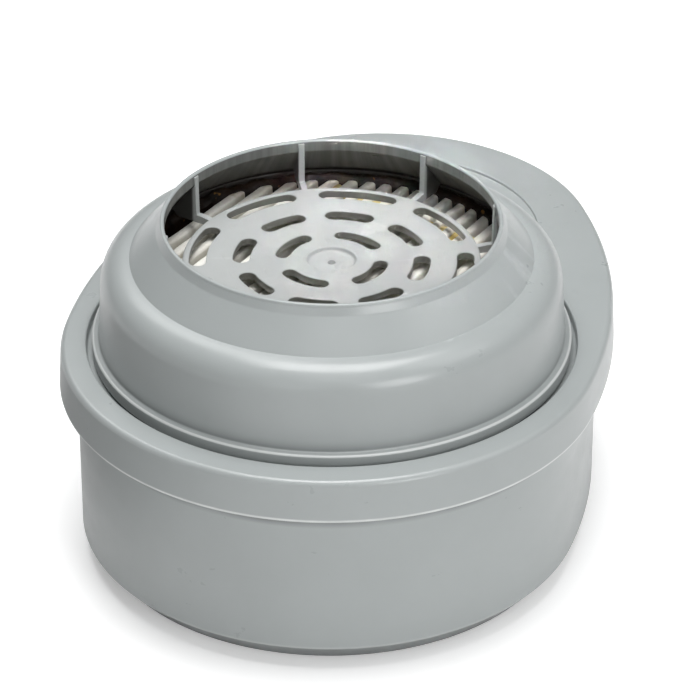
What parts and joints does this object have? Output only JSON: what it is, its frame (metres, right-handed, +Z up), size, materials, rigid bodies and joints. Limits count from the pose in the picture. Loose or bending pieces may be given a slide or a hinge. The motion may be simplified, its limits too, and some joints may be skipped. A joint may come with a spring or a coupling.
{
  "type": "respirator filter cartridge",
  "caption": "Egg-shaped respirator cartridge: sorbent canister, pleated particulate stage under an off-centre inlet collar with slotted grille, bayonet outlet socket in the base.",
  "frame": {"origin": "point where the inlet collar's axis meets the flat base plane", "axes": "+Z up through the inlet collar, +Y towards the lobe of the egg outline, +X to the right seen from the narrow collar side"},
  "size_m": [0.0774, 0.1024, 0.0509],
  "materials": {
    "shell_grey": "satin moulded plastic, cool light grey",
    "grille_grey": "satin moulded plastic, slightly paler grey",
    "frame_black": "dark moulded ring",
    "inner_white": "natural white moulded plastic",
    "hot_melt": "brown hot-melt adhesive",
    "seal_rubber": "soft black seal rubber",
    "filter_paper": "cream glass-fibre filter paper",
    "scrim": "thin non-woven pad",
    "foam": "open-cell foam strip",
    "carbon": "packed activated charcoal granules"
  },
  "bodies": {
    "canister": {"canister_body": "shell_grey", "cover_flange": "shell_grey", "seam_adhesive": "hot_melt", "collar_gasket": "seal_rubber", "pleat_pack": "filter_paper", "pleat_spacers": "hot_melt", "pleat_frame": "frame_black", "potting_ring": "hot_melt", "filter_gasket": "seal_rubber", "filter_deck": "inner_white", "compression_ring": "foam", "upper_grid": "inner_white", "upper_scrim": "scrim", "carbon_bed": "carbon", "lower_scrim": "scrim", "lower_grid": "inner_white", "outlet_screen": "inner_white", "screen_retainer": "inner_white", "outlet_socket": "grille_grey", "outlet_gasket": "seal_rubber"},
    "inlet_unit": {"inlet_collar": "shell_grey", "intake_grille": "grille_grey"}
  },
  "joints": [
    {"name": "inlet_lift", "type": "slide", "parent": "canister", "child": "inlet_unit", "axis": [0, 0, 1], "range_m": [0, 0.03]}
  ]
}
